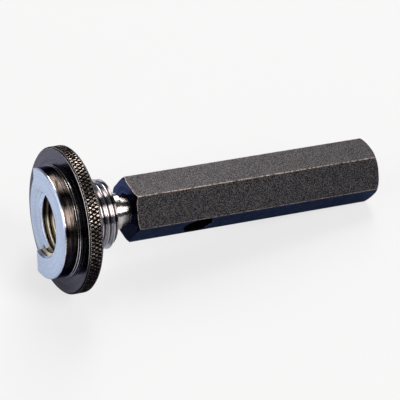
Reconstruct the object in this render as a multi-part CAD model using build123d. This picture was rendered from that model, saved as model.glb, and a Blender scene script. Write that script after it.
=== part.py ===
from build123d import *
import math
import os

# A taper pipe thread gauge for thread size R 1/2: a ring gauge screwed loosely onto its plug gauge,
# whose shank sits in a hexagonal handle. Millimetres, +Z up. It lies at rest on the ring's rim and on
# the rear end of the handle's bottom flat.
#
# Each piece is modelled standing on its turning axis, local Z. Station 0 is the ring's rear face, the
# gauge plane, and stations grow towards the handle. Local X is the side that faces up once the gauge
# lies down, and angles about the axis run from it towards the front, world -Y.

# Thread form
threads_per_inch = 14
taper = 1 / 16  # on the diameter
flank_angle = 55
groove_angle = -70  # where the plug's groove crosses the gauge plane

# Ring gauge, with a plain bore as wide as the mouth of its thread at the front face
ring_length = 9.97
ring_bore_diameter = 20.9
ring_mouth_chamfer = 0.35
flange_diameter = 44
flange_width = 4.5
flange_chamfer = 0.5
boss_diameter = 33
boss_chamfer = 0.3
shoulder_height = 0.6  # above the boss
shoulder_width = 0.9

# The step ground into the ring's front face, whose two levels are the limits for a pipe's end
step_height = 3.63
step_offset = 4.5  # from the axis to the step's wall
step_angle = -114

# Plug gauge, placed by how it stands in the ring
thread_clearance = 0.22  # between the ring's bore and the plug's crests, at the gauge plane
thread_showing = 10.26  # from the ring's rear face to the thread's large end
thread_hidden = 0.2
thread_chamfer = 0.6
nose_length = 1.4  # in front of the thread, inside the ring
neck_diameter = 11
neck_length = 3.9
shank_diameter = 9.2
shank_showing = 2.95  # from the neck to the handle
shank_tip_showing = 0.4  # how far the shank reaches into the drift hole

# Handle
handle_across_flats = 17.3
handle_length = 82
handle_edge_break = 0.15
front_chamfer_depth = 0.55
front_chamfer_angle = 30
rear_chamfer_depth = 0.95
rear_chamfer_angle = 35
chamfer_crown_radius = 3.5
socket_clearance = 0.02
socket_chamfer = 0.4
drift_hole_diameter = 9.2
drift_hole_setback = 21.5  # from the handle's front face
drift_hole_angle = 120
drift_hole_chamfer = 0.25

# Thread sizes
pitch = 25.4 / threads_per_inch
addendum = 0.320163 * pitch  # from the pitch line to the flat crests
slope = taper / 2
flank_lean = math.tan(math.radians(flank_angle / 2))

# Stations along the axis
thread_front = -thread_hidden
nose_front = thread_front - nose_length
neck_rear = thread_showing + neck_length
handle_front = neck_rear + shank_showing
handle_rear = handle_front + handle_length
shank_rear = handle_front + drift_hole_setback - drift_hole_diameter / 2 + shank_tip_showing

# Radii, the crests' being the plug's at the gauge plane
crest_radius = ring_bore_diameter / 2 - thread_clearance
half_flat = handle_across_flats / 2
corner_radius = half_flat / math.cos(math.pi / 6)
front_face_radius = corner_radius - front_chamfer_depth / math.tan(math.radians(front_chamfer_angle))
rear_face_radius = corner_radius - rear_chamfer_depth / math.tan(math.radians(rear_chamfer_angle))


def turned(*points):
    """A solid turned about local Z from a closed outline of (radius, station) points."""
    return revolve(Plane.XZ * Polygon(*points, align=None), Axis.Z)


def countersink(mouth_diameter, opens):
    """A right-angled cone with its mouth at station 0, opening to +1 or -1 along the axis."""
    depth = mouth_diameter / 2
    return turned((0, -opens * depth), (2 * depth, opens * depth), (0, opens * depth))


def ring_blank():
    """The ring's turned outside: a flange with broken corners, a low shoulder and the boss."""
    flange_radius = flange_diameter / 2
    boss_radius = boss_diameter / 2
    shoulder_radius = boss_radius + shoulder_height
    shoulder_front = -flange_width - shoulder_width
    return turned(
        (0, 0),
        (flange_radius - flange_chamfer, 0),
        (flange_radius, -flange_chamfer),
        (flange_radius, flange_chamfer - flange_width),
        (flange_radius - flange_chamfer, -flange_width),
        (shoulder_radius, -flange_width),
        (shoulder_radius, shoulder_front),
        (boss_radius, shoulder_front),
        (boss_radius, boss_chamfer - ring_length),
        (boss_radius - boss_chamfer, -ring_length),
        (0, -ring_length),
    )


def ring_gauge():
    """The ring: its blank, bored, countersunk at the rear and stepped at the front."""
    bore = Cylinder(ring_bore_diameter / 2, 3 * ring_length)
    mouth = countersink(ring_bore_diameter + 2 * ring_mouth_chamfer, 1)
    far = flange_diameter
    step = Pos(step_offset + far / 2, 0, step_height / 2 - ring_length) * Box(far, far, step_height)
    return ring_blank() - bore - mouth - Rot(Z=step_angle) * step


def thread_groove():
    """The V between the plug's turns, from just inside the ring until it runs off the large end.

    Its section is the thread form in the axial plane, sharp at the root and open past the crests,
    and its path is one helix for each turn.
    """
    turns = math.ceil((thread_hidden + thread_showing + pitch) / pitch)
    cone_angle = math.atan(slope)
    pitch_radius = crest_radius + thread_front * slope - addendum
    root_radius = pitch_radius - pitch / 4 / flank_lean
    mouth_radius = pitch_radius + 1.2 * addendum
    half_mouth = (mouth_radius - root_radius) * flank_lean
    section = Plane.XZ * Polygon(
        (root_radius, thread_front),
        (mouth_radius, thread_front + half_mouth),
        (mouth_radius, thread_front - half_mouth),
        align=None,
    )

    helices = [
        Helix(
            pitch / math.cos(cone_angle),
            pitch,
            pitch_radius + turn * pitch * slope,
            center=(0, 0, thread_front + turn * pitch),
            cone_angle=math.degrees(cone_angle),
        )
        for turn in range(turns)
    ]
    path = Wire([helix.edge() for helix in helices])
    groove = sweep(section, path=path, is_frenet=True)
    return Rot(Z=groove_angle + 360 * thread_front / pitch) * groove


def plug_gauge():
    """The gauging member: a plain nose, the thread, a neck and the shank that the handle holds."""
    front_radius = crest_radius + thread_front * slope
    rear_radius = crest_radius + thread_showing * slope
    blank = turned(
        (0, nose_front),
        (front_radius, nose_front),
        (front_radius, thread_front),
        (rear_radius - thread_chamfer * slope, thread_showing - thread_chamfer),
        (rear_radius - thread_chamfer, thread_showing),
        (0, thread_showing),
    )
    stem = turned(
        (0, thread_showing - pitch),
        (neck_diameter / 2, thread_showing - pitch),
        (neck_diameter / 2, neck_rear),
        (shank_diameter / 2, neck_rear),
        (shank_diameter / 2, shank_rear),
        (0, shank_rear),
    )
    return blank - thread_groove() + stem


def hexagonal_bar():
    """The handle's hexagon with broken long edges and crowned ends, front face at station 0."""
    bar = extrude(RegularPolygon(corner_radius, 6, rotation=30), handle_length)
    bar = chamfer(bar.edges().filter_by(Axis.Z), handle_edge_break)
    front_corner = (corner_radius, front_chamfer_depth)
    rear_corner = (corner_radius, handle_length - rear_chamfer_depth)
    outline = Curve() + [
        Polyline((0, handle_length), (0, 0), (front_face_radius, 0)),
        RadiusArc((front_face_radius, 0), front_corner, -chamfer_crown_radius),
        Line(front_corner, rear_corner),
        RadiusArc(rear_corner, (rear_face_radius, handle_length), -chamfer_crown_radius),
        Line((rear_face_radius, handle_length), (0, handle_length)),
    ]
    return bar & revolve(Plane.XZ * make_face(outline), Axis.Z)


def drift_hole():
    """The hole across the handle, countersunk at both flats, drawn along local X."""
    hole = Rot(Y=90) * Cylinder(drift_hole_diameter / 2, 2 * corner_radius)
    mouth_diameter = drift_hole_diameter + 2 * drift_hole_chamfer
    for turn in (0, 180):
        mouth = Pos(0, 0, half_flat) * countersink(mouth_diameter, 1)
        hole += Rot(Z=turn) * Rot(Y=90) * mouth
    return hole


def handle():
    """The handle: a hexagonal bar with a socket for the shank and a drift hole behind its end."""
    socket_radius = shank_diameter / 2 + socket_clearance
    socket = Pos(0, 0, drift_hole_setback / 2) * Cylinder(socket_radius, drift_hole_setback)
    mouth = countersink(2 * (socket_radius + socket_chamfer), -1)
    across = Pos(0, 0, drift_hole_setback) * Rot(Z=drift_hole_angle) * drift_hole()
    return Pos(0, 0, handle_front) * (hexagonal_bar() - socket - mouth - across)


def lay_down(pieces):
    """Tilt the gauge onto the ring's rim and the handle's rear end, centred over the origin."""
    rim_radius = flange_diameter / 2
    rim_foot = -flange_chamfer
    rear_rise = math.tan(math.radians(rear_chamfer_angle))
    handle_foot = handle_rear - max(0, half_flat - rear_face_radius) * rear_rise
    tilt = math.atan2(rim_radius - half_flat, handle_foot - rim_foot)

    up = (math.sin(tilt), 0, math.cos(tilt))
    along = (math.cos(tilt), 0, -math.sin(tilt))
    axis_height = rim_radius * math.cos(tilt) + rim_foot * math.sin(tilt)
    lying = Plane(origin=(0, 0, axis_height), x_dir=up, z_dir=along).location
    laid = {name: lying * piece for name, piece in pieces.items()}

    boxes = [piece.bounding_box() for piece in laid.values()]
    middle_x = (min(box.min.X for box in boxes) + max(box.max.X for box in boxes)) / 2
    middle_y = (min(box.min.Y for box in boxes) + max(box.max.Y for box in boxes)) / 2
    return {name: Pos(-middle_x, -middle_y, 0) * piece for name, piece in laid.items()}


pieces = lay_down({
    "ring_gauge": ring_gauge(),
    "plug_gauge": plug_gauge(),
    "handle": handle(),
})

os.makedirs("parts", exist_ok=True)
for name, piece in pieces.items():
    export_step(piece, f"parts/{name}.step")
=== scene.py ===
"""A taper pipe thread gauge for thread size R 1/2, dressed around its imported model.

The ring gauge and the plug gauge get their full threads, the ring its knurled rim and the
handle its rounded edges and blasted surface. Sizes are in millimetres in the gauge's own
frame, whose Z axis is the turning axis: station 0 is the ring's rear face, and stations grow
towards the handle. Local X is the side that faces up, and angles run from it towards the
front. The lie of the gauge turns that frame into the scene's metres.
"""

import logging
import math
from dataclasses import dataclass
from enum import Enum
from typing import Callable

import bmesh
import bpy
from mathutils import Euler, Matrix, Vector


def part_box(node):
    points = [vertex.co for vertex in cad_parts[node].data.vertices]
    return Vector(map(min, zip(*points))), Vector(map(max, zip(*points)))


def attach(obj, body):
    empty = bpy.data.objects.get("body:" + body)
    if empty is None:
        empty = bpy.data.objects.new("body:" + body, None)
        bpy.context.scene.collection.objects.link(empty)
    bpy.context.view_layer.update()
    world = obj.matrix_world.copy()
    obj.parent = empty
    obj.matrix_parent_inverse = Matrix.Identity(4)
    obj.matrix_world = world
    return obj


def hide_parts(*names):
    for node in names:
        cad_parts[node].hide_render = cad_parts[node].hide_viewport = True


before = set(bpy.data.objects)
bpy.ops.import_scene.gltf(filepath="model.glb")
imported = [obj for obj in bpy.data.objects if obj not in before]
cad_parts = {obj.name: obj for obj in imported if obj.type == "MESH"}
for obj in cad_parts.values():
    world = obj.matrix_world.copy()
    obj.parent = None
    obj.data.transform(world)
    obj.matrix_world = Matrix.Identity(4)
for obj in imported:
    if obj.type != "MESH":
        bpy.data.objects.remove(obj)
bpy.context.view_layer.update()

BODY = "root"
METRES = 0.001
INCH = 25.4
IMAGE_WIDTH = 400
CREASE = 30  # degrees from which an edge stays sharp
SQUARE = 0.99  # the normal's share along the axis past which a face is square to it
FORWARD = -0.5  # the share below which a face looks forward
SLACK = 0.01  # how far off a plane a face may lie and still count as on it
PAST_GAUGE = (200, 201)  # stations behind the whole gauge

log = logging.getLogger("gauge")

Colour = tuple[float, float, float]
Corner = tuple[float, float, float]
Point = tuple[float, float]
Place = tuple[float, float, float]
Socket = bpy.types.NodeSocket
Feed = Socket | float | tuple | Vector | Euler


class Way(Enum):
    """How one solid is combined with another."""

    CUT = "DIFFERENCE"
    JOIN = "UNION"
    KEEP = "INTERSECT"


class Skin(Enum):
    """The kinds of surface that the gauge's pieces show."""

    OXIDE = "blackened side"
    FACE = "blackened face"
    GROUND = "ground"
    THREAD = "thread"
    KNURL = "knurl"
    # The upper and lower flats are one finish, painted lit and painted shaded.
    LIT_FLATS = "rubbed flats"
    SHADED_FLATS = "blued flats"
    END = "turned end"
    BORE = "bore"


def polar(radius: float, angle: float, station: float) -> Place:
    """A point, by its distance from the axis, its angle in radians and its station."""
    return radius * math.cos(angle), radius * math.sin(angle), station


def opaque(colour: Socket | Colour) -> Socket | tuple:
    """A colour as a colour socket takes it: another socket, or four numbers."""
    return colour if isinstance(colour, Socket) else (*colour, 1)


def soften(corners: list[Corner], steps: int = 3) -> list[Point]:
    """Rounds the corners of an open outline.

    Args:
        corners: Each corner as (radius, station, rounding).
        steps: How many chords stand for each rounding.

    Returns:
        The outline's points as (radius, station). Its two ends stay where they are.
    """
    points: list[Point] = [corners[0][:2]]
    for before, corner, after in zip(corners, corners[1:], corners[2:]):
        here = Vector(corner[:2])
        if corner[2] <= 0:
            points.append(tuple(here))
            continue
        back = (Vector(before[:2]) - here).normalized()
        ahead = (Vector(after[:2]) - here).normalized()
        half = back.angle(ahead) / 2
        centre = here + (back + ahead).normalized() * corner[2] / math.sin(half)
        start = here + back * corner[2] / math.tan(half) - centre
        end = here + ahead * corner[2] / math.tan(half) - centre
        for step in range(steps + 1):
            arm = start.normalized().slerp(end.normalized(), step / steps)
            points.append(tuple(centre + arm * corner[2]))
    points.append(corners[-1][:2])
    return points


def soft_least(first: float, second: float, reach: float) -> float:
    """The lesser of two lengths, blended where they differ by less than reach.

    Args:
        first: One length.
        second: The other length.
        reach: The difference below which the two blend.

    Returns:
        The blended lesser length.
    """
    share = max(reach - abs(first - second), 0) / reach
    return min(first, second) - share * share * reach / 4


@dataclass(frozen=True)
class Lie:
    """How the gauge lies on the floor, on the ring's rim and the handle's rear end.

    The rim and the flat touch the floor at their foot stations, and the plug's tail gives the
    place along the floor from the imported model.
    """

    rim_radius: float
    rim_foot: float
    flat_radius: float
    flat_foot: float
    tail_radius: float
    tail_station: float

    @property
    def tilt(self) -> float:
        """The angle in radians by which the handle drops towards its rear end."""
        return math.atan2(self.rim_radius - self.flat_radius, self.flat_foot - self.rim_foot)

    def turn(self) -> Matrix:
        """The turn from the gauge's own axes to the scene's."""
        cosine, sine = math.cos(self.tilt), math.sin(self.tilt)
        return Matrix(((sine, 0, cosine), (0, -1, 0), (cosine, 0, -sine)))

    def origin(self) -> Vector:
        """The gauge frame's origin in the scene.

        Returns:
            Its place in metres.
        """
        cosine, sine = math.cos(self.tilt), math.sin(self.tilt)
        height = self.rim_radius * cosine + self.rim_foot * sine
        reach = self.tail_station * cosine + self.tail_radius * sine
        return Vector((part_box("plug_gauge")[1].x - reach * METRES, 0, height * METRES))

    def matrix(self) -> Matrix:
        """Takes the gauge's millimetres to the scene's metres."""
        scale = Matrix.Scale(METRES, 4)
        return Matrix.Translation(self.origin()) @ self.turn().to_4x4() @ scale


class Solid:
    """A closed mesh in the gauge's own frame, in millimetres, that can be cut and joined."""

    def __init__(self, vertices: list[tuple], faces: list[tuple]) -> None:
        """Makes the mesh with its faces turned outwards.

        Args:
            vertices: The places of the vertices.
            faces: The vertices of each face, by number.
        """
        mesh = bpy.data.meshes.new("solid")
        mesh.from_pydata(vertices, [], faces)
        work = bmesh.new()
        work.from_mesh(mesh)
        bmesh.ops.recalc_face_normals(work, faces=work.faces)
        work.to_mesh(mesh)
        work.free()
        self.holder = bpy.data.objects.new("solid", mesh)
        bpy.context.scene.collection.objects.link(self.holder)

    @classmethod
    def turned(cls, outline: list[Point], segments: int = 288) -> "Solid":
        """Turns an outline about the axis.

        Args:
            outline: (radius, station) points that start and end on the axis.
            segments: How many facets stand for the full turn.

        Returns:
            The turned solid.
        """
        inner = outline[1:-1]
        vertices = [
            polar(radius, math.tau * step / segments, station)
            for radius, station in inner
            for step in range(segments)
        ]
        first, last = len(vertices), len(vertices) + 1
        vertices += [(0, 0, outline[0][1]), (0, 0, outline[-1][1])]
        faces = []
        for step in range(segments):
            ahead = (step + 1) % segments
            top = (len(inner) - 1) * segments
            faces.append((first, step, ahead))
            faces.append((last, top + ahead, top + step))
            for ring in range(len(inner) - 1):
                low, high = ring * segments, (ring + 1) * segments
                faces.append((low + step, high + step, high + ahead, low + ahead))
        return cls(vertices, faces)

    @classmethod
    def block(cls, low: Vector, high: Vector, turn: float) -> "Solid":
        """A box between two corners, turned about the axis.

        Args:
            low: The lowest corner.
            high: The highest corner.
            turn: The angle in radians.

        Returns:
            The box.
        """
        about = Matrix.Rotation(turn, 3, "Z")
        places = [(x, y, z) for x in (low.x, high.x) for y in (low.y, high.y) for z in (low.z, high.z)]
        faces = [(0, 1, 3, 2), (4, 6, 7, 5), (0, 4, 5, 1), (2, 3, 7, 6), (0, 2, 6, 4), (1, 5, 7, 3)]
        return cls([tuple(about @ Vector(place)) for place in places], faces)

    def moved(self, matrix: Matrix) -> "Solid":
        """Moves the solid and returns it."""
        self.holder.data.transform(matrix)
        return self

    def combined(self, other: "Solid", way: Way) -> "Solid":
        """Cuts, joins or intersects with another solid, which is used up.

        Args:
            other: The other solid.
            way: What is done with it.

        Returns:
            This solid, changed.
        """
        modifier = self.holder.modifiers.new("combined", "BOOLEAN")
        modifier.operation = way.value
        modifier.solver = "MANIFOLD"
        modifier.object = other.holder
        graph = bpy.context.evaluated_depsgraph_get()
        result = bpy.data.meshes.new_from_object(self.holder.evaluated_get(graph))
        self.holder.modifiers.clear()
        spent = [self.holder.data, other.holder.data]
        self.holder.data = result
        bpy.data.objects.remove(other.holder)
        for mesh in spent:
            bpy.data.meshes.remove(mesh)
        return self

    def dressed(
        self,
        name: str,
        lie: Lie,
        skins: dict[Skin, bpy.types.Material],
        skin_of: Callable[[Vector, Vector], Skin],
    ) -> bpy.types.Object:
        """Gives the solid its skins and shading and lays it in the scene.

        Args:
            name: The piece's name.
            lie: How the gauge lies.
            skins: The material of each skin.
            skin_of: Says which skin a face has, from its centre and its normal.

        Returns:
            The piece.
        """
        mesh = self.holder.data
        order = list(skins)
        mesh.materials.clear()
        for skin in order:
            mesh.materials.append(skins[skin])
        for face in mesh.polygons:
            face.material_index = order.index(skin_of(face.center, face.normal))
            face.use_smooth = True
        mesh.set_sharp_from_angle(angle=math.radians(CREASE))
        mesh.transform(lie.matrix())
        weighted = self.holder.modifiers.new("even_shading", "WEIGHTED_NORMAL")
        weighted.keep_sharp = True
        graph = bpy.context.evaluated_depsgraph_get()
        final = bpy.data.meshes.new_from_object(self.holder.evaluated_get(graph))
        self.holder.modifiers.clear()
        self.holder.data = final
        bpy.data.meshes.remove(mesh)
        final.name = name
        self.holder.name = name
        return self.holder


@dataclass(frozen=True)
class ThreadForm:
    """The taper pipe thread: a helix whose turns grow with the taper towards the handle."""

    threads_per_inch: float = 14
    flank_angle: float = 55
    taper: float = 1 / 16
    height_share: float = 0.320163
    edge_rounding: float = 0.07
    crest_angle: float = 110
    segments: int = 240
    edge_steps: int = 2
    turns_before: int = 2
    turns_after: int = 1

    @property
    def pitch(self) -> float:
        """The distance from one turn to the next."""
        return INCH / self.threads_per_inch

    @property
    def addendum(self) -> float:
        """From the pitch line to the crests, and as far to the roots."""
        return self.height_share * self.pitch

    @property
    def slope(self) -> float:
        """How much the radius grows with the station."""
        return self.taper / 2

    def turn_outline(self) -> list[Point]:
        """One turn's outline.

        Returns:
            Its points as (height above the pitch line, offset from the crest).
        """
        lean = math.tan(math.radians(self.flank_angle / 2))
        half_crest = self.pitch / 4 - self.addendum * lean
        half_root = self.pitch / 2 - half_crest
        corners = [
            (-self.addendum, -self.pitch / 2, 0),
            (-self.addendum, -half_root, self.edge_rounding),
            (self.addendum, -half_crest, self.edge_rounding),
            (self.addendum, half_crest, self.edge_rounding),
            (-self.addendum, half_root, self.edge_rounding),
            (-self.addendum, self.pitch / 2, 0),
        ]
        return soften(corners, self.edge_steps)[:-1]

    def rod(self, crest_radius: float, front: float, rear: float) -> Solid:
        """A threaded taper rod that reaches past both stations.

        Its surface is one helical sheet: the last point of a turn's row is followed by the
        first point of the same row one turn on.

        Args:
            crest_radius: The crests' radius at station 0.
            front: The lesser station.
            rear: The greater station.

        Returns:
            The rod, closed by a flat cone at each end.
        """
        outline = self.turn_outline()
        span, around = len(outline), self.segments
        lead_in = self.pitch * (self.crest_angle / 360 % 1)
        first_turn = math.floor((front + lead_in) / self.pitch) - self.turns_before
        last_turn = math.ceil((rear + lead_in) / self.pitch) + self.turns_after
        pitch_radius = crest_radius - self.addendum

        vertices = []
        for turn in range(first_turn, last_turn + 1):
            for height, offset in outline:
                for step in range(around):
                    angle = math.tau * step / around
                    station = (turn + step / around) * self.pitch + offset - lead_in
                    radius = pitch_radius + station * self.slope + height
                    vertices.append(polar(radius, angle, station))

        rows = len(vertices) // around
        faces = []
        for row in range(rows - 1):
            low, high = row * around, (row + 1) * around
            for step in range(around - 1):
                faces.append((low + step, low + step + 1, high + step + 1, high + step))
            if row + 1 + span < rows:
                next_low = (row + span) * around
                faces.append((low + around - 1, next_low, next_low + around, high + around - 1))

        top = rows - 1
        front_rim = list(range(around)) + [row * around for row in range(span, 0, -1)]
        rear_rim = [top * around + step for step in range(around)]
        rear_rim += [row * around + around - 1 for row in range(top - 1, top - span - 1, -1)]
        for rim in (front_rim, rear_rim):
            middle = len(vertices)
            column = [vertices[number][2] for number in rim[around:]]
            vertices.append((0, 0, (min(column) + max(column)) / 2))
            faces += [(middle, rim[number - 1], rim[number]) for number in range(len(rim))]
        return Solid(vertices, faces)


@dataclass(frozen=True)
class Knurl:
    """A diamond knurl of crossing grooves, rolled into a rim."""

    radius: float
    middle: float
    count: int = 110
    helix_angle: float = 30
    depth: float = 0.27
    rows: int = 3

    @property
    def row_step(self) -> float:
        """The station step between rows of groove crossings."""
        around = math.tau * self.radius / self.count
        return around / math.tan(math.radians(self.helix_angle)) / 2

    @property
    def top_share(self) -> float:
        """How wide a diamond's flat top is, as a share of its cell."""
        across = math.tau * self.radius / self.count * math.cos(math.radians(self.helix_angle))
        return 1 - 2 * self.depth / across

    def place(self, column: float, row: float, radius: float) -> Place:
        """A point of the lattice, by cells round the rim and rows from its middle."""
        angle, station = math.tau * column / self.count, self.middle + row * self.row_step
        return polar(radius, angle, station)

    def sleeve(self, front: float, rear: float) -> Solid:
        """A knurled bar that is plain past the knurl.

        Args:
            front: Its lesser end station.
            rear: Its greater end station.

        Returns:
            The bar.
        """
        valley = self.radius - self.depth
        edge = self.rows + 1
        vertices, faces = [], []
        crossings = {}
        for row in range(-edge, edge + 1):
            for column in range(self.count):
                crossings[row, column] = len(vertices)
                vertices.append(self.place(column + row % 2 / 2, row, valley))

        for row in range(-self.rows, self.rows + 1):
            for column in range(self.count):
                ahead = (column + 1) % self.count
                beside = ahead if row % 2 else column
                feet = [
                    crossings[row, column],
                    crossings[row - 1, beside],
                    crossings[row, ahead],
                    crossings[row + 1, beside],
                ]
                middle = column + row % 2 / 2 + 0.5
                half = self.top_share / 2
                first = len(vertices)
                vertices += [
                    self.place(middle - half, row, self.radius),
                    self.place(middle, row - 2 * half, self.radius),
                    self.place(middle + half, row, self.radius),
                    self.place(middle, row + 2 * half, self.radius),
                ]
                faces.append((first, first + 1, first + 2, first + 3))
                for side in range(4):
                    follow = (side + 1) % 4
                    faces.append((feet[side], feet[follow], first + follow, first + side))

        for outer, inner, station in ((-edge, -self.rows, front), (edge, self.rows, rear)):
            zigzag = []
            for column in range(self.count):
                pair = [(outer, column), (inner, column if inner % 2 else (column + 1) % self.count)]
                zigzag += [crossings[place] for place in pair]
            far = []
            for number in zigzag:
                far.append(len(vertices))
                vertices.append((vertices[number][0], vertices[number][1], station))
            for number in range(len(zigzag)):
                faces.append((zigzag[number - 1], zigzag[number], far[number], far[number - 1]))
            faces.append(tuple(far))
        return Solid(vertices, faces)


@dataclass(frozen=True)
class Grain:
    """A random field, by its patches to the millimetre and its number of finer layers."""

    scale: float
    layers: float


class Paint:
    """A material and its nodes."""

    def __init__(self, name: str) -> None:
        """Starts the material with its usual shader.

        Args:
            name: The material's name.
        """
        self.material = bpy.data.materials.new(name)
        self.material.use_nodes = True
        self.tree = self.material.node_tree
        self.shader = next(node for node in self.tree.nodes if node.type == "BSDF_PRINCIPLED")

    def plug(self, value: Feed, target: Socket) -> None:
        """Feeds a socket of a node.

        Args:
            value: Another socket, which is linked, or a plain value, which is written.
            target: The socket.
        """
        if isinstance(value, Socket):
            self.tree.links.new(value, target)
        else:
            target.default_value = value

    def node(self, kind: str, inputs: dict[int | str, Feed], **options: str) -> bpy.types.Node:
        """Adds a node.

        Args:
            kind: Its kind.
            inputs: What feeds its sockets, by their number or name.
            options: Its options.

        Returns:
            The node.
        """
        node = self.tree.nodes.new(kind)
        for name, option in options.items():
            setattr(node, name, option)
        for socket, value in inputs.items():
            self.plug(value, node.inputs[socket])
        return node

    def math(self, operation: str, first: Feed, second: Feed = 0.0, third: Feed = 0.0) -> Socket:
        """The result of a named operation on up to three values."""
        inputs = {0: first, 1: second, 2: third}
        return self.node("ShaderNodeMath", inputs, operation=operation).outputs[0]


class Recipe(Paint):
    """A metal's material, laid out one step at a time in the gauge's own millimetres."""

    usual: Point = (0.3, 0.7)
    edge_breakup: Grain = Grain(1.4, 4)
    edge_fade: Point = (0.7, 1.3)
    across_lines: float = 0.25

    def __init__(self, name: str, lie: Lie) -> None:
        """Starts the material with its coordinates.

        Args:
            name: The material's name.
            lie: How the gauge lies.
        """
        super().__init__(name)
        self.lie = lie
        self.position = self.node("ShaderNodeTexCoord", {}).outputs["Object"]
        inputs = {
            "Vector": self.position,
            "Location": lie.origin(),
            "Rotation": lie.turn().to_euler(),
            "Scale": (METRES,) * 3,
        }
        self.place = self.node("ShaderNodeMapping", inputs, vector_type="TEXTURE").outputs[0]
        self.up, self.side, self.station = self.node("ShaderNodeSeparateXYZ", {0: self.place}).outputs
        self.radius = self.math("SQRT", self.math("ADD", self.squared(self.up), self.squared(self.side)))
        self.angle = self.math("ARCTAN2", self.side, self.up)

    def squared(self, value: Socket) -> Socket:
        """A value times itself."""
        return self.math("MULTIPLY", value, value)

    def mean(self, first: Socket, second: Socket) -> Socket:
        """The mean of two values."""
        return self.math("MULTIPLY", self.math("ADD", first, second), 0.5)

    def noise(self, grain: Grain, place: Socket | None = None) -> Socket:
        """A soft random field about 0.5, at the gauge's own coordinates or at a given place."""
        inputs = {"Vector": place or self.place, "Scale": grain.scale, "Detail": grain.layers}
        return self.node("ShaderNodeTexNoise", inputs).outputs[0]

    def turned_lines(self, grain: Grain, breaks: float = 0.05) -> Socket:
        """Fine lines round the axis, as a lathe or a grinding wheel leaves them.

        Args:
            grain: How fine they are.
            breaks: How soon a line ends.

        Returns:
            A value about 0.5.
        """
        inputs = {0: self.radius, 1: self.math("MULTIPLY", self.angle, breaks), 2: self.station}
        place = self.node("ShaderNodeCombineXYZ", inputs).outputs[0]
        return self.noise(grain, place)

    def ranged(self, value: Socket, start: float, end: float, low: float = 0, high: float = 1) -> Socket:
        """A value carried smoothly from start and end to low and high, which it doesn't pass."""
        inputs = dict(enumerate((value, start, end, low, high)))
        return self.node("ShaderNodeMapRange", inputs, interpolation_type="SMOOTHSTEP").outputs[0]

    def varied(self, field: Socket, span: Point) -> Socket:
        """A number that goes over its span as a random field goes over its usual values."""
        return self.ranged(field, *self.usual, *span)

    def mixed(self, share: Socket, first: Socket | Colour, second: Socket | Colour) -> Socket:
        """Two colours mixed by the share of the second."""
        inputs = {0: share, 6: opaque(first), 7: opaque(second)}
        return self.node("ShaderNodeMix", inputs, data_type="RGBA").outputs[2]

    def bumped(self, height: Socket, depth: float) -> None:
        """Raises the surface by a height field, whose value of 1 is depth millimetres high."""
        bump = self.node("ShaderNodeBump", {"Distance": depth * METRES, "Height": height})
        self.plug(bump.outputs[0], self.shader.inputs["Normal"])

    def combed_round(self, amount: float) -> None:
        """Stretches the gloss across lines that run round the axis.

        Args:
            amount: How far, from 0 to 1.
        """
        inputs = {0: self.position, 1: self.lie.origin()}
        offset = self.node("ShaderNodeVectorMath", inputs, operation="SUBTRACT")
        inputs = {0: self.lie.turn().col[2], 1: offset.outputs[0]}
        across = self.node("ShaderNodeVectorMath", inputs, operation="CROSS_PRODUCT")
        self.plug(across.outputs[0], self.shader.inputs["Tangent"])
        self.shader.inputs["Anisotropic"].default_value = amount
        self.shader.inputs["Anisotropic Rotation"].default_value = self.across_lines

    def edge_wear_and_highlight(self, edges: tuple[Point, ...], reach: float) -> Socket:
        """Where turned edges are rubbed bare, and where a painted highlight brightens a fillet like one.

        Args:
            edges: The edges' circles as (radius, station).
            reach: How far from an edge the brightening goes.

        Returns:
            1 on the edges and 0 away from them, broken up along their length.
        """
        nearest = None
        for radius, station in edges:
            aside = self.squared(self.math("SUBTRACT", self.radius, radius))
            along = self.squared(self.math("SUBTRACT", self.station, station))
            distance = self.math("SQRT", self.math("ADD", aside, along))
            nearest = distance if nearest is None else self.math("MINIMUM", nearest, distance)
        rough = self.math("MULTIPLY", self.noise(self.edge_breakup), reach)
        full, gone = (reach * part for part in self.edge_fade)
        return self.ranged(self.math("ADD", nearest, rough), full, gone, 1, 0)

    def sector(self, turn: float, span: Point) -> Socket:
        """A sector about the axis, where one side gets a painted sheen or a painted shade.

        Args:
            turn: The sector's middle in degrees from the upper side.
            span: How many degrees from there it starts to fade, and where it is gone.

        Returns:
            1 within the sector and 0 outside it.
        """
        cosine = self.math("COSINE", self.math("SUBTRACT", self.angle, math.radians(turn)))
        fading, gone = (math.radians(part) for part in span)
        return self.ranged(self.math("ARCCOSINE", cosine), fading, gone, 1, 0)

    def finished(
        self, colour: Socket, roughness: Socket, glance: Socket | Colour = (1, 1, 1)
    ) -> None:
        """Closes the material as bare or thinly coated metal.

        Args:
            colour: The base colour.
            roughness: The roughness.
            glance: The tint of what it reflects at a glancing angle.
        """
        self.plug(colour, self.shader.inputs["Base Color"])
        self.plug(roughness, self.shader.inputs["Roughness"])
        self.plug(opaque(glance), self.shader.inputs["Specular Tint"])
        self.shader.inputs["Metallic"].default_value = 1


class Finish:
    """A finish of the gauge's steel, which each kind paints in its own way."""

    def paint(self, recipe: Recipe) -> None:
        """Paints the material."""
        raise NotImplementedError

    def make(self, name: str, lie: Lie) -> bpy.types.Material:
        """Makes the finish's material.

        Args:
            name: The material's name.
            lie: How the gauge lies.

        Returns:
            The material.
        """
        recipe = Recipe(name, lie)
        self.paint(recipe)
        return recipe.material


@dataclass(frozen=True)
class PaintedShade:
    """A painted shade that darkens one side of a surface and fades out between two stations."""

    turn: float
    span: Point
    amount: float = 0.85
    ends: Point = PAST_GAUGE
    darkening: Colour = (0.004, 0.004, 0.006)
    glance: Colour = (0.49, 0.49, 0.50)

    def share(self, recipe: Recipe) -> Socket:
        """How much of the painted shade shows."""
        near = recipe.ranged(recipe.station, *self.ends, self.amount, 0)
        return recipe.math("MULTIPLY", recipe.sector(self.turn, self.span), near)


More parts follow.
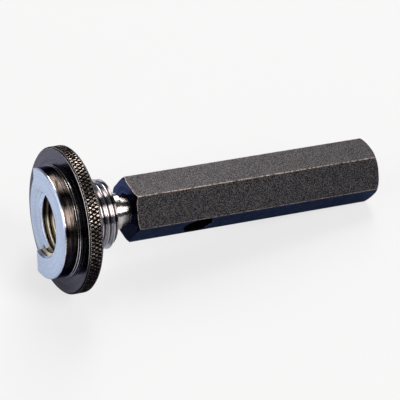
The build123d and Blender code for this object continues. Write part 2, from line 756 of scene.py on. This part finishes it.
@dataclass(frozen=True)
class TurnedOxide(Finish):
    """A turned surface, blackened: dark, satin and bare at the given edges, with a painted sheen up front.
    """

    edges: tuple[Point, ...]
    dark: Colour = (0.003, 0.003, 0.005)
    light: Colour = (0.018, 0.016, 0.021)
    painted_sheen: Colour = (0.150, 0.122, 0.110)
    bare: Colour = (0.90, 0.88, 0.88)
    glance: Colour = (0.4, 0.4, 0.5)
    roughness: Point = (0.20, 0.30)
    lines: Grain = Grain(3.4, 4)
    line_breaks: float = 0.8
    line_depth: float = 0.012
    patches: Grain = Grain(0.4, 4)
    patch_share: float = 0.5
    contrast: Point = (0.60, 0.92)
    comb: float = 0.5
    reach: float = 0.42
    sheen_turn: float = 32
    sheen_span: Point = (24, 56)

    def paint(self, recipe: Recipe) -> None:
        """Paints the material.

        Args:
            recipe: The material in work.
        """
        lines = recipe.turned_lines(self.lines, self.line_breaks)
        patches = recipe.noise(self.patches)
        tone = recipe.math("ADD", lines, recipe.math("MULTIPLY", patches, self.patch_share))
        # Painted sheen: the upper front side is made paler, standing in for the lamps' highlight there.
        painted_sheen = recipe.sector(self.sheen_turn, self.sheen_span)
        light = recipe.mixed(painted_sheen, self.light, self.painted_sheen)
        body = recipe.mixed(recipe.ranged(tone, *self.contrast), self.dark, light)
        edge_shine = recipe.edge_wear_and_highlight(self.edges, self.reach)
        recipe.bumped(lines, self.line_depth)
        recipe.combed_round(self.comb)
        roughness = recipe.varied(patches, self.roughness)
        recipe.finished(recipe.mixed(edge_shine, body, self.bare), roughness, self.glance)


@dataclass(frozen=True)
class GroundFace(Finish):
    """A bare face, ground flat: pale with a fine mottle, and a cool blue that is a painted reflection."""

    # The blue in these colours is a painted reflection of cool surroundings.
    dark: Colour = (0.46, 0.55, 0.80)
    light: Colour = (0.65, 0.79, 1.0)
    roughness: Point = (0.28, 0.40)
    mottle: Grain = Grain(2.4, 2)
    lines: Grain = Grain(7, 2)
    contrast: Point = (0.41, 0.59)
    depth: float = 0.006

    def paint(self, recipe: Recipe) -> None:
        """Paints the material.

        Args:
            recipe: The material in work.
        """
        mottle = recipe.noise(self.mottle)
        tone = recipe.mean(mottle, recipe.turned_lines(self.lines))
        recipe.bumped(tone, self.depth)
        colour = recipe.mixed(recipe.ranged(tone, *self.contrast), self.dark, self.light)
        recipe.finished(colour, recipe.varied(mottle, self.roughness))


@dataclass(frozen=True)
class ThreadSteel(Finish):
    """Bare hardened steel, ground in its thread, painted darker in its roots.

    The roots are at the root radius, and the darkening reaches from there by the root reach, which
    is negative in a bore. A painted shade can also darken one side.
    """

    root_radius: float
    root_reach: float = 0.3
    slope: float = 1 / 32
    bright: Colour = (0.60, 0.58, 0.61)
    dull: Colour = (0.34, 0.33, 0.35)
    root: Colour = (0.05, 0.036, 0.03)
    roughness: Point = (0.12, 0.20)
    lines: Grain = Grain(8, 3)
    line_depth: float = 0.006
    contrast: Point = (0.35, 0.65)
    patches: Grain = Grain(0.8, 4)
    patch_share: float = 0.5
    darkening_edge: Point = (0.4, 1.1)
    comb: float = 0.75
    painted_shade: PaintedShade | None = None

    def darkening(self, recipe: Recipe, patches: Socket) -> Socket:
        """Where the roots are painted darker, and where a painted shade darkens one side.

        Args:
            recipe: The material in work.
            patches: The field that makes the darkening's edge uneven.

        Returns:
            1 where it is darkened and 0 on clean steel.
        """
        level = recipe.math("SUBTRACT", recipe.radius, recipe.math("MULTIPLY", recipe.station, self.slope))
        above = recipe.math("SUBTRACT", level, self.root_radius)
        height = recipe.math("MULTIPLY", above, 1 / self.root_reach)
        edge = recipe.math("ADD", height, recipe.math("MULTIPLY", patches, self.patch_share))
        darkening = recipe.ranged(edge, *self.darkening_edge, 1, 0)
        # The painted shade of one side joins the darker roots.
        return recipe.math("MAXIMUM", darkening, self.painted_shade.share(recipe)) if self.painted_shade else darkening

    def paint(self, recipe: Recipe) -> None:
        """Paints the material.

        Args:
            recipe: The material in work.
        """
        lines = recipe.turned_lines(self.lines)
        patches = recipe.noise(self.patches)
        steel = recipe.mixed(recipe.ranged(lines, *self.contrast), self.dull, self.bright)
        colour = recipe.mixed(self.darkening(recipe, patches), steel, self.root)
        recipe.bumped(lines, self.line_depth)
        recipe.combed_round(self.comb)
        recipe.finished(colour, recipe.varied(patches, self.roughness))


@dataclass(frozen=True)
class GroundShank(Finish):
    """Bare steel, ground round: pale, with fine lines and a few darker handling marks."""

    bright: Colour = (0.72, 0.68, 0.68)
    dull: Colour = (0.44, 0.41, 0.42)
    mark: Colour = (0.12, 0.095, 0.08)
    roughness: Point = (0.18, 0.26)
    lines: Grain = Grain(6, 4)
    line_depth: float = 0.008
    contrast: Point = (0.35, 0.65)
    marks: Grain = Grain(2.4, 5)
    mark_edge: Point = (0.60, 0.70)
    comb: float = 0.75

    def paint(self, recipe: Recipe) -> None:
        """Paints the material.

        Args:
            recipe: The material in work.
        """
        lines = recipe.turned_lines(self.lines)
        steel = recipe.mixed(recipe.ranged(lines, *self.contrast), self.dull, self.bright)
        marks = recipe.ranged(recipe.noise(self.marks), *self.mark_edge)
        recipe.bumped(lines, self.line_depth)
        recipe.combed_round(self.comb)
        recipe.finished(recipe.mixed(marks, steel, self.mark), recipe.varied(lines, self.roughness))


@dataclass(frozen=True)
class KnurledRim(Finish):
    """A blackened knurl whose tops are rubbed back to warm bare metal, with painted shade on its lower
    front side.
    """

    edges: tuple[Point, ...]
    radius: float
    valley: Colour = (0.010, 0.009, 0.010)
    top: Colour = (0.66, 0.57, 0.52)
    dulled: Colour = (0.022, 0.018, 0.017)
    bare: Colour = (0.62, 0.60, 0.62)
    glance: Colour = (0.26, 0.25, 0.30)
    roughness: Point = (0.5, 0.30)
    patches: Grain = Grain(1.3, 4)
    grain: Grain = Grain(3.4, 3)
    grain_depth: float = 0.03
    contrast: Point = (0.48, 0.61)
    rub: float = 0.09
    reach: float = 0.32
    painted_shade: PaintedShade = PaintedShade(150, (55, 82))

    def paint(self, recipe: Recipe) -> None:
        """Paints the material.

        Args:
            recipe: The material in work.
        """
        patches, grain = recipe.noise(self.patches), recipe.noise(self.grain)
        height = recipe.math("ADD", recipe.radius, recipe.math("MULTIPLY", patches, self.rub))
        rubbed = recipe.ranged(height, self.radius - self.rub, self.radius + self.rub / 2)
        metal = recipe.mixed(recipe.ranged(grain, *self.contrast), self.dulled, self.top)
        edge_shine = recipe.edge_wear_and_highlight(self.edges, self.reach)
        body = recipe.mixed(edge_shine, recipe.mixed(rubbed, self.valley, metal), self.bare)
        # Painted shade darkens the rim's lower front side.
        colour = recipe.mixed(self.painted_shade.share(recipe), body, self.painted_shade.darkening)
        recipe.bumped(grain, self.grain_depth)
        recipe.finished(colour, recipe.ranged(rubbed, 0, 1, *self.roughness), self.glance)


@dataclass(frozen=True)
class BlastedOxide(Finish):
    """Steel blasted to a fine grain and blued, rubbed bare along its corners.

    Each of its ends is a station, the flat face's radius and how much faster the crowned edge
    goes out than back.
    """

    corner_radius: float
    dark: Colour = (0.013, 0.013, 0.017)
    light: Colour = (0.128, 0.124, 0.132)
    bare: Colour = (0.46, 0.38, 0.34)
    glance: Colour = (0.8, 0.8, 0.8)
    roughness: Point = (0.34, 0.44)
    grain: Grain = Grain(4.6, 1)
    grain_depth: float = 0.065
    contrast: Point = (0.47, 0.61)
    patches: Grain = Grain(0.35, 3)
    rub: float = 0.08
    rubbed: float = 1
    ends: tuple[tuple[float, float, float], ...] = ()
    end_rub: float = 0.36
    breaks: Grain = Grain(1.3, 4)
    break_edge: Point = (0.36, 0.60)

    def edge_shine(self, recipe: Recipe) -> Socket:
        """Where the long corners and the edges of the crowned ends are rubbed.

        Args:
            recipe: The material in work.

        Returns:
            How much of the bare metal shows.
        """
        near = recipe.ranged(recipe.radius, self.corner_radius - self.rub, self.corner_radius)
        for station, face_radius, spread in self.ends:
            inset = recipe.math("SUBTRACT", recipe.station, station)
            inside = recipe.math("SUBTRACT", face_radius, recipe.radius)
            crown = recipe.math("ADD", recipe.math("MULTIPLY", inside, 1 / spread), inset)
            distance = recipe.math("MINIMUM", inset, crown)
            end = recipe.ranged(distance, self.end_rub / 4, self.end_rub, 1, 0)
            near = recipe.math("MAXIMUM", near, end)
        broken = recipe.ranged(recipe.noise(self.breaks), *self.break_edge, 0, self.rubbed)
        return recipe.math("MULTIPLY", near, broken)

    def paint(self, recipe: Recipe) -> None:
        """Paints the material.

        Args:
            recipe: The material in work.
        """
        grain = recipe.noise(self.grain)
        body = recipe.mixed(recipe.ranged(grain, *self.contrast), self.dark, self.light)
        colour = recipe.mixed(self.edge_shine(recipe), body, self.bare)
        recipe.bumped(grain, self.grain_depth)
        roughness = recipe.varied(recipe.noise(self.patches), self.roughness)
        recipe.finished(colour, roughness, self.glance)


@dataclass(frozen=True)
class SmoothOxide(Finish):
    """A smooth blued surface, faintly mottled, which a painted shade can darken on one side."""

    dark: Colour = (0.014, 0.020, 0.060)
    light: Colour = (0.062, 0.078, 0.160)
    glance: Colour = (0.52, 0.55, 0.66)
    roughness: Point = (0.05, 0.11)
    mottle: Grain = Grain(2.2, 3)
    lines: Grain = Grain(6, 2)
    line_depth: float = 0.006
    contrast: Point = (0.41, 0.59)
    comb: float = 0.3
    painted_shade: PaintedShade | None = None

    def paint(self, recipe: Recipe) -> None:
        """Paints the material.

        Args:
            recipe: The material in work.
        """
        mottle, lines = recipe.noise(self.mottle), recipe.turned_lines(self.lines)
        tone = recipe.ranged(recipe.mean(mottle, lines), *self.contrast)
        colour, glance = recipe.mixed(tone, self.dark, self.light), self.glance
        recipe.bumped(lines, self.line_depth)
        recipe.combed_round(self.comb)
        # Painted shade darkens one side, in its colour and in its glance.
        if self.painted_shade:
            share = self.painted_shade.share(recipe)
            colour = recipe.mixed(share, colour, self.painted_shade.darkening)
            glance = recipe.mixed(share, glance, self.painted_shade.glance)
        recipe.finished(colour, recipe.varied(mottle, self.roughness), glance)


@dataclass
class RingGauge:
    """The ring: turned blank, knurled rim, stepped face and the taper thread right through."""

    thread: ThreadForm
    length: float = 9.97
    root_diameter: float = 20.955
    flange_diameter: float = 44
    flange_width: float = 4.5
    flange_chamfer: float = 0.5
    boss_diameter: float = 33
    boss_chamfer: float = 0.3
    shoulder_height: float = 0.6
    shoulder_width: float = 0.9
    front_mouth_diameter: float = 20.9
    rear_mouth_diameter: float = 21.6
    step_height: float = 3.63
    step_offset: float = 4.5
    step_angle: float = -114
    edge_rounding: float = 0.06
    shoulder_rounding: float = 0.26
    rim_proud: float = 0.1
    mouth_polish: float = 0.64
    mouth_slack: float = 0.03
    mouth_lean: Point = (-0.8, -0.6)
    face_lean: float = -0.7
    spare: float = 3

    def blank(self) -> Solid:
        """The turned outside, with its corners rounded off.

        Returns:
            The blank, whose rim stands proud of the knurl that cuts it.
        """
        rim, boss = self.flange_diameter / 2, self.boss_diameter / 2
        chamfer, width, soft = self.flange_chamfer, self.flange_width, self.edge_rounding
        proud, shoulder = self.rim_proud, boss + self.shoulder_height
        shoulder_front = -width - self.shoulder_width
        return Solid.turned(soften([
            (0, 0, 0),
            (rim - chamfer, 0, soft),
            (rim + proud, -chamfer - proud, 0),
            (rim + proud, chamfer + proud - width, 0),
            (rim - chamfer, -width, soft),
            (shoulder, -width, self.shoulder_rounding),
            (shoulder, shoulder_front, self.shoulder_rounding),
            (boss, shoulder_front, self.shoulder_rounding),
            (boss, self.boss_chamfer - self.length, soft),
            (boss - self.boss_chamfer, -self.length, soft),
            (0, -self.length, 0),
        ]))

    def mouth(self, diameter: float, station: float, opens: int) -> Solid:
        """A right-angled countersink.

        Args:
            diameter: Its diameter at the face.
            station: The face's station.
            opens: 1 if it opens to the rear, or -1 to the front.

        Returns:
            The cone to cut.
        """
        radius = diameter / 2
        wide, far = 2 * radius, station + opens * radius
        return Solid.turned([(0, station - opens * radius), (wide, far), (0, far)])

    def build(self) -> Solid:
        """The whole ring.

        Returns:
            Its solid.
        """
        knurl = Knurl(self.flange_diameter / 2, -self.flange_width / 2)
        sleeve = knurl.sleeve(-self.length - self.spare, self.spare)
        bore = self.thread.rod(self.root_diameter / 2, -self.length, 0)
        front = self.mouth(self.front_mouth_diameter, -self.length, -1)
        rear = self.mouth(self.rear_mouth_diameter, 0, 1)
        wide = self.flange_diameter
        step = Solid.block(
            Vector((self.step_offset, -wide, -self.length - self.spare)),
            Vector((wide, wide, self.step_height - self.length)),
            math.radians(self.step_angle),
        )
        ring = self.blank().combined(sleeve, Way.KEEP).combined(bore, Way.CUT)
        for tool in (front, rear, step):
            ring = ring.combined(tool, Way.CUT)
        return ring

    def skin_of(self, centre: Vector, normal: Vector) -> Skin:
        """Says which skin a face of the ring has.

        Args:
            centre: The face's centre.
            normal: Its normal.

        Returns:
            The skin.
        """
        distance = math.hypot(centre.x, centre.y)
        low_level = self.step_height - self.length
        off_mouth = distance + centre.z + self.length - self.front_mouth_diameter / 2
        in_mouth = abs(off_mouth) < self.mouth_slack and self.mouth_lean[0] < normal.z < self.mouth_lean[1]
        turn = math.radians(self.step_angle)
        past_wall = centre.x * math.cos(turn) + centre.y * math.sin(turn) - self.step_offset
        low_mouth = past_wall > 0 and centre.z < low_level + self.mouth_polish
        if in_mouth or (low_mouth and normal.z < FORWARD):
            return Skin.GROUND
        if distance < self.rear_mouth_diameter / 2 and abs(normal.z) < SQUARE:
            return Skin.THREAD
        front = centre.z < low_level + SLACK and normal.z < FORWARD
        rear = centre.z > -SLACK and normal.z > SQUARE
        if front or rear:
            return Skin.GROUND
        if distance > self.flange_diameter / 2 - self.flange_chamfer:
            return Skin.KNURL
        return Skin.FACE if normal.z < self.face_lean else Skin.OXIDE

    def worn_and_highlit_edges(self) -> tuple[Point, ...]:
        """The turned edges that are rubbed bare, and the shoulder's fillet, which gets a painted
        highlight.

        Returns:
            Their circles as (radius, station).
        """
        rim, boss = self.flange_diameter / 2, self.boss_diameter / 2
        shoulder, shoulder_front = boss + self.shoulder_height, -self.flange_width - self.shoulder_width
        middle = self.shoulder_rounding * (1 - math.sqrt(0.5))
        return (
            (rim - self.flange_chamfer, -self.flange_width),
            (rim, self.flange_chamfer - self.flange_width),
            (rim, -self.flange_chamfer),
            (rim - self.flange_chamfer, 0),
            # The shoulder's edge is worn and brightened further as a painted highlight; the fillet at the
            # boss's base below it is a painted highlight only.
            (shoulder - middle, shoulder_front + middle),
            (boss + middle, shoulder_front - middle),
            (boss, self.boss_chamfer - self.length),
            (boss - self.boss_chamfer, -self.length),
        )

    def dress(self, lie: Lie) -> bpy.types.Object:
        """Builds the ring, gives it its skins and lays it in place.

        Args:
            lie: How the gauge lies.

        Returns:
            The piece in the scene.
        """
        roots, edges = self.root_diameter / 2, self.worn_and_highlit_edges()
        skins = {
            Skin.OXIDE: TurnedOxide(edges).make("ring_side_oxide", lie),
            Skin.FACE: SmoothOxide(
                dark=(0.035, 0.033, 0.050),
                light=(0.125, 0.126, 0.180),
                glance=(0.86, 0.86, 0.92),
                roughness=(0.14, 0.22),
                # Painted shade darkens the flange face's upper front side.
                painted_shade=PaintedShade(52, (30, 62)),
            ).make("ring_face_oxide", lie),
            Skin.GROUND: GroundFace().make("ring_ground_face", lie),
            Skin.THREAD: ThreadSteel(
                roots,
                root_reach=-0.3,
                # These colours, brighter and warmer than the plug's steel, are a painted highlight that
                # lifts the thread in the bore.
                bright=(1.0, 0.95, 0.84),
                dull=(0.84, 0.75, 0.60),
                roughness=(0.26, 0.36),
                comb=0,
                # Painted shade darkens the bore's upper back side.
                painted_shade=PaintedShade(-75, (38, 56)),
            ).make("ring_thread", lie),
            Skin.KNURL: KnurledRim(edges, self.flange_diameter / 2).make("ring_knurl", lie),
        }
        piece = self.build().dressed("ring_gauge_body", lie, skins, self.skin_of)
        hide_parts("ring_gauge")
        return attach(piece, BODY)


@dataclass
class PlugGauge:
    """The plug: taper thread, neck and the shank that the handle holds."""

    thread: ThreadForm
    crest_radius: float = 10.23
    nose: float = -1.6
    large_end: float = 10.26
    end_chamfer: float = 0.6
    neck_diameter: float = 11
    neck_rear: float = 14.16
    shank_diameter: float = 9.2
    shank_rear: float = 34.41
    shank_chamfer: float = 0.3
    edge_rounding: float = 0.12
    end_slack: float = 0.001
    spare: float = 1
    stem_segments: int = 192

    def build(self) -> Solid:
        """The whole plug.

        Returns:
            Its solid.
        """
        slope, chamfer = self.thread.slope, self.end_chamfer
        nose_radius = self.crest_radius + self.nose * slope
        large_radius = self.crest_radius + self.large_end * slope
        past = chamfer + self.spare
        neck, shank = self.neck_diameter / 2, self.shank_diameter / 2
        blank = Solid.turned([
            (0, self.nose),
            (nose_radius - chamfer, self.nose),
            (nose_radius - chamfer + past, self.nose + past),
            (large_radius - chamfer + past, self.large_end - past),
            (large_radius - chamfer, self.large_end),
            (0, self.large_end),
        ])
        stem = Solid.turned(soften([
            (0, self.large_end - self.thread.pitch, 0),
            (neck, self.large_end - self.thread.pitch, 0),
            (neck, self.neck_rear, self.edge_rounding),
            (shank, self.neck_rear, self.edge_rounding),
            (shank, self.shank_rear - self.shank_chamfer, 0),
            (shank - self.shank_chamfer, self.shank_rear, 0),
            (0, self.shank_rear, 0),
        ]), self.stem_segments)
        rod = self.thread.rod(self.crest_radius, self.nose, self.large_end)
        return rod.combined(blank, Way.KEEP).combined(stem, Way.JOIN)

    def skin_of(self, centre: Vector, normal: Vector) -> Skin:
        """Says which skin a face of the plug has, from its centre and its normal."""
        plain = centre.z > self.large_end - self.end_slack or normal.z < -SQUARE
        return Skin.GROUND if plain else Skin.THREAD

    def dress(self, lie: Lie) -> bpy.types.Object:
        """Builds the plug, gives it its skins and lays it in place.

        Args:
            lie: How the gauge lies.

        Returns:
            The piece in the scene.
        """
        roots = self.crest_radius - 2 * self.thread.addendum
        skins = {
            Skin.THREAD: ThreadSteel(roots).make("plug_thread", lie),
            Skin.GROUND: GroundShank().make("plug_shank", lie),
        }
        piece = self.build().dressed("plug_gauge_body", lie, skins, self.skin_of)
        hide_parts("plug_gauge")
        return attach(piece, BODY)


@dataclass
class Handle:
    """The hexagonal handle: crowned ends, a socket for the shank and a drift hole across it."""

    front: float = 17.11
    length: float = 82
    across_flats: float = 17.3
    corner_rounding: float = 0.28
    face_rounding: float = 0.1
    crown_radius: float = 3.5
    front_chamfer: Point = (0.55, 30)
    rear_chamfer: Point = (0.95, 35)
    crown_blend: float = 0.12
    crown_margin: float = 0.35
    row_step: float = 0.06
    face_steps: int = 4
    socket_diameter: float = 9.24
    socket_chamfer: float = 0.4
    hole_diameter: float = 9.2
    hole_setback: float = 21.5
    hole_angle: float = 120
    hole_chamfer: float = 0.25
    around: int = 720
    spare: float = 2
    bore_facing: float = 0.5
    bore_lean: float = 0.9
    end_lean: float = 0.35
    lit_flats_turn: float = 93
    painted_shade_depths: Point = (3, 6)

    @property
    def corner_radius(self) -> float:
        """From the axis to the hexagon's sharp corner."""
        return self.across_flats / 2 / math.cos(math.pi / 6)

    def hexagon(self, angle: float) -> float:
        """The rounded hexagon's radius.

        Args:
            angle: The angle round the axis in radians, with a flat at zero.

        Returns:
            The distance from the axis.
        """
        half = self.across_flats / 2
        from_flat = (angle + math.pi / 6) % (math.pi / 3) - math.pi / 6
        from_corner = math.pi / 6 - abs(from_flat)
        centre = (half - self.corner_rounding) / math.cos(math.pi / 6)
        tangent = math.atan2(centre * math.sin(math.pi / 6), half)
        if abs(from_flat) <= tangent:
            return half / math.cos(from_flat)
        sideways = centre * math.sin(from_corner)
        return centre * math.cos(from_corner) + math.sqrt(self.corner_rounding**2 - sideways**2)

    def crown(self, chamfer: Point, inset: float) -> float:
        """The crowned end's radius.

        Args:
            chamfer: The chamfer's depth and angle.
            inset: The distance from the end face.

        Returns:
            The distance from the axis.
        """
        depth, lean = chamfer[0], math.radians(chamfer[1])
        chord = depth / math.sin(lean)
        rise = math.sqrt(self.crown_radius**2 - chord**2 / 4)
        middle_radius = self.corner_radius - depth / math.tan(lean) / 2
        centre_radius = middle_radius - math.sin(lean) * rise
        centre_inset = depth / 2 + math.cos(lean) * rise
        return centre_radius + math.sqrt(self.crown_radius**2 - (inset - centre_inset)**2)

    def end_rows(self, chamfer: Point) -> list[Point]:
        """The rows of one end.

        Args:
            chamfer: The chamfer's depth and angle.

        Returns:
            Each row as (inset from the face, shrinkage of the outline).
        """
        soft = self.face_rounding
        turns = [math.pi / 2 * step / self.face_steps for step in range(self.face_steps + 1)]
        rows = [(soft * (1 - math.cos(turn)), soft * (1 - math.sin(turn))) for turn in turns]
        reach = chamfer[0] + self.crown_margin
        steps = math.ceil((reach - soft) / self.row_step)
        return rows + [(soft + (reach - soft) * step / steps, 0) for step in range(1, steps + 1)]

    def bar(self) -> Solid:
        """The hexagonal bar with its crowned ends.

        Returns:
            Its solid.
        """
        rows = []
        for end, chamfer in ((0, self.front_chamfer), (1, self.rear_chamfer)):
            side = [(inset, shrink, end, chamfer) for inset, shrink in self.end_rows(chamfer)]
            rows += side[::-1] if end else side
        vertices = []
        for inset, shrink, end, chamfer in rows:
            station = self.front + (self.length - inset if end else inset)
            limit = self.crown(chamfer, inset)
            for step in range(self.around):
                angle = math.tau * step / self.around
                radius = soft_least(self.hexagon(angle), limit, self.crown_blend) - shrink
                vertices.append(polar(radius, angle, station))
        faces = []
        for row in range(len(rows) - 1):
            low, high = row * self.around, (row + 1) * self.around
            for step in range(self.around):
                ahead = (step + 1) % self.around
                faces.append((low + step, low + ahead, high + ahead, high + step))
        faces.append(tuple(range(self.around)))
        faces.append(tuple(range(len(vertices) - self.around, len(vertices))))
        return Solid(vertices, faces)

    def build(self) -> Solid:
        """The whole handle.

        Returns:
            Its solid.
        """
        socket = self.socket_diameter / 2
        wide = socket + self.socket_chamfer
        bore = Solid.turned([
            (0, self.front - wide),
            (2 * wide, self.front - wide),
            (socket, self.front + wide - socket),
            (socket, self.front + self.hole_setback),
            (0, self.front + self.hole_setback),
        ])
        hole, flat = self.hole_diameter / 2, self.across_flats / 2
        mouth, past = hole + self.hole_chamfer, self.spare
        across = Solid.turned([
            (0, -flat - past),
            (mouth + past, -flat - past),
            (hole, mouth - hole - flat),
            (hole, flat - mouth + hole),
            (mouth + past, flat + past),
            (0, flat + past),
        ])
        lie_across = Matrix.Translation((0, 0, self.front + self.hole_setback))
        lie_across @= Matrix.Rotation(math.radians(self.hole_angle), 4, "Z")
        lie_across @= Matrix.Rotation(math.pi / 2, 4, "Y")
        return self.bar().combined(bore, Way.CUT).combined(across.moved(lie_across), Way.CUT)

    def skin_of(self, centre: Vector, normal: Vector) -> Skin:
        """Says which skin a face of the handle has.

        Args:
            centre: The face's centre.
            normal: Its normal.

        Returns:
            The skin.
        """
        distance = math.hypot(centre.x, centre.y)
        outwards = (centre.x * normal.x + centre.y * normal.y) / max(distance, 1)
        if outwards < self.bore_facing and abs(normal.z) < self.bore_lean:
            return Skin.BORE
        if abs(normal.z) > self.end_lean:
            return Skin.END
        turn = math.degrees(math.atan2(normal.y, normal.x))
        # The three upper flats get the painted-light copy, and the three lower flats get the painted-shade
        # copy.
        return Skin.LIT_FLATS if abs(turn) < self.lit_flats_turn else Skin.SHADED_FLATS

    def dress(self, lie: Lie) -> bpy.types.Object:
        """Builds the handle, gives it its skins and lays it in place.

        Args:
            lie: How the gauge lies.

        Returns:
            The piece in the scene.
        """
        corner = self.hexagon(math.pi / 6)
        depth, lean = self.front_chamfer
        spread = 1 / math.tan(math.radians(lean))
        ends = ((self.front, self.corner_radius - depth * spread, spread),)
        shade_start, shade_end = (self.front + reach for reach in self.painted_shade_depths)
        skins = {
            # The upper flats get the lighter grey copy of the blasted finish as painted light; the lower
            # flats get a navy copy with less corner wear as painted shade.
            Skin.LIT_FLATS: BlastedOxide(corner, ends=ends).make("handle_flats_painted_light", lie),
            Skin.SHADED_FLATS: BlastedOxide(
                corner,
                dark=(0.012, 0.018, 0.043),
                light=(0.028, 0.038, 0.080),
                glance=(0.42, 0.46, 0.56),
                rubbed=0.2,
            ).make("handle_flats_painted_shade", lie),
            Skin.END: SmoothOxide(
                # Painted shade darkens the lower front side of the handle's front end.
                painted_shade=PaintedShade(120, (80, 112), ends=(shade_start, shade_end))
            ).make("handle_turned_end", lie),
            Skin.BORE: SmoothOxide(
                dark=(0.004, 0.004, 0.005), light=(0.010, 0.009, 0.010), roughness=(0.4, 0.6)
            ).make("handle_bore", lie),
        }
        piece = self.build().dressed("handle_body", lie, skins, self.skin_of)
        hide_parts("handle")
        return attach(piece, BODY)


@dataclass(frozen=True)
class Lamp:
    """A soft lamp aimed at the gauge.

    Its direction from the gauge is an angle from +X towards +Y and an elevation, in degrees. Its
    size is a width and a height, and its glow is how bright its face is, where a white wall in
    plain light is 1.
    """

    name: str
    towards: Point
    size: Point
    glow: float
    colour: Colour

    def hang(self, distance: float) -> None:
        """Hangs the lamp.

        Args:
            distance: How far from the gauge, in metres.
        """
        light = bpy.data.lights.new(self.name, "AREA")
        light.shape = "RECTANGLE"
        light.size, light.size_y = self.size
        light.energy = self.glow * math.pi * light.size * light.size_y
        light.color = self.colour
        lamp = bpy.data.objects.new(self.name, light)
        turn, rise = map(math.radians, self.towards)
        outwards = Vector(polar(math.cos(rise), turn, math.sin(rise)))
        lamp.location = outwards * distance
        lamp.rotation_euler = outwards.to_track_quat("Z", "Y").to_euler()
        bpy.context.scene.collection.objects.link(lamp)


@dataclass
class Studio:
    """A plain pale floor, soft light and the camera at the photograph's angle."""

    floor_size: float = 6
    floor_colour: Colour = (0.86, 0.89, 0.94)
    floor_roughness: float = 0.9
    floor_gloss: float = 0.1
    floor_lift: float = 0.7
    mirrored_lift: float = 0.1
    lamp_distance: float = 1.2
    lamps: tuple[Lamp, ...] = (
        Lamp("front_lamp", (-62, 43), (0.38, 0.74), 7.6, (1.0, 0.94, 0.87)),
        Lamp("back_lamp", (57, 50), (0.38, 1.15), 6.2, (1.0, 0.94, 0.88)),
        Lamp("side_lamp", (176, 24), (1.40, 0.66), 2.4, (1.0, 0.95, 0.89)),
    )
    surroundings: float = 0.08
    surroundings_colour: Colour = (0.90, 0.94, 1.0)
    camera_place: Place = (-0.29437, -0.57602, 0.57497)
    azimuth: float = -26.912
    elevation: float = 40.920
    roll: float = 2.761
    focal_pixels: float = 2841.68
    sensor: float = 36
    camera_reach: Point = (0.01, 20)

    def floor(self) -> None:
        """The floor that the gauge lies on."""
        half = self.floor_size / 2
        mesh = bpy.data.meshes.new("floor")
        places = [(-half, -half, 0), (half, -half, 0), (half, half, 0), (-half, half, 0)]
        mesh.from_pydata(places, [], [(0, 1, 2, 3)])
        piece = bpy.data.objects.new("floor", mesh)
        bpy.context.scene.collection.objects.link(piece)
        mesh.materials.append(self.floor_paint())

    def floor_paint(self) -> bpy.types.Material:
        """A white floor whose shadow is light to the eye and darker in reflections.

        Returns:
            The floor's material.
        """
        paint = Paint("floor_white")
        paint.shader.inputs["Base Color"].default_value = opaque(self.floor_colour)
        paint.shader.inputs["Roughness"].default_value = self.floor_roughness
        paint.shader.inputs["Specular IOR Level"].default_value = self.floor_gloss
        glow = paint.node("ShaderNodeEmission", {"Strength": 1})
        rays = paint.node("ShaderNodeLightPath", {}).outputs
        share = paint.math("MULTIPLY", rays["Is Camera Ray"], self.floor_lift)
        for kind in ("Is Glossy Ray", "Is Transmission Ray"):
            share = paint.math("MULTIPLY_ADD", rays[kind], self.mirrored_lift, share)
        inputs = {0: share, 1: paint.shader.outputs[0], 2: glow.outputs[0]}
        mix = paint.node("ShaderNodeMixShader", inputs)
        paint.plug(mix.outputs[0], paint.tree.nodes["Material Output"].inputs["Surface"])
        return paint.material

    def light(self) -> None:
        """The three soft lamps and the pale surroundings."""
        for lamp in self.lamps:
            lamp.hang(self.lamp_distance)
        world = bpy.data.worlds.new("studio")
        world.use_nodes = True
        background = world.node_tree.nodes["Background"]
        background.inputs["Color"].default_value = (*self.surroundings_colour, 1)
        background.inputs["Strength"].default_value = self.surroundings
        bpy.context.scene.world = world

    def camera(self) -> None:
        """The camera, with the photograph's place, aim and focal length."""
        azimuth, elevation, roll = map(math.radians, (self.azimuth, self.elevation, self.roll))
        ahead = Vector((
            -math.sin(azimuth) * math.cos(elevation),
            math.cos(azimuth) * math.cos(elevation),
            -math.sin(elevation),
        ))
        level = ahead.cross(Vector((0, 0, 1))).normalized()
        upright = level.cross(ahead)
        right = math.cos(roll) * level + math.sin(roll) * upright
        upward = -math.sin(roll) * level + math.cos(roll) * upright
        lens = bpy.data.cameras.new("camera")
        lens.sensor_width = self.sensor
        lens.lens = self.focal_pixels * self.sensor / IMAGE_WIDTH
        lens.clip_start, lens.clip_end = self.camera_reach
        stand = bpy.data.objects.new("camera", lens)
        turn = Matrix((right, upward, -ahead)).transposed()
        stand.matrix_world = Matrix.Translation(self.camera_place) @ turn.to_4x4()
        bpy.context.scene.collection.objects.link(stand)
        bpy.context.scene.camera = stand

    def build(self) -> None:
        """Sets up the whole studio."""
        self.floor()
        self.light()
        self.camera()
        bpy.context.scene.view_settings.view_transform = "Standard"


def main() -> None:
    """Builds the studio and the gauge's three pieces, and reports each piece."""
    logging.basicConfig(level=logging.INFO, format="%(message)s")
    Studio().build()
    thread = ThreadForm()
    ring, plug, handle = RingGauge(thread), PlugGauge(thread), Handle()
    rear_depth, rear_lean = handle.rear_chamfer
    rear_rise = math.tan(math.radians(rear_lean))
    rear_face = handle.corner_radius - rear_depth / rear_rise
    flat = handle.across_flats / 2
    lie = Lie(
        rim_radius=ring.flange_diameter / 2,
        rim_foot=-ring.flange_chamfer,
        flat_radius=flat,
        flat_foot=handle.front + handle.length - max(0, flat - rear_face) * rear_rise,
        tail_radius=plug.shank_diameter / 2,
        tail_station=plug.shank_rear,
    )
    for part in (ring, plug, handle):
        piece = part.dress(lie)
        triangles = sum(len(face.vertices) - 2 for face in piece.data.polygons)
        log.info("%s rides on %s with %d triangles", piece.name, BODY, triangles)


if __name__ == "__main__":
    main()
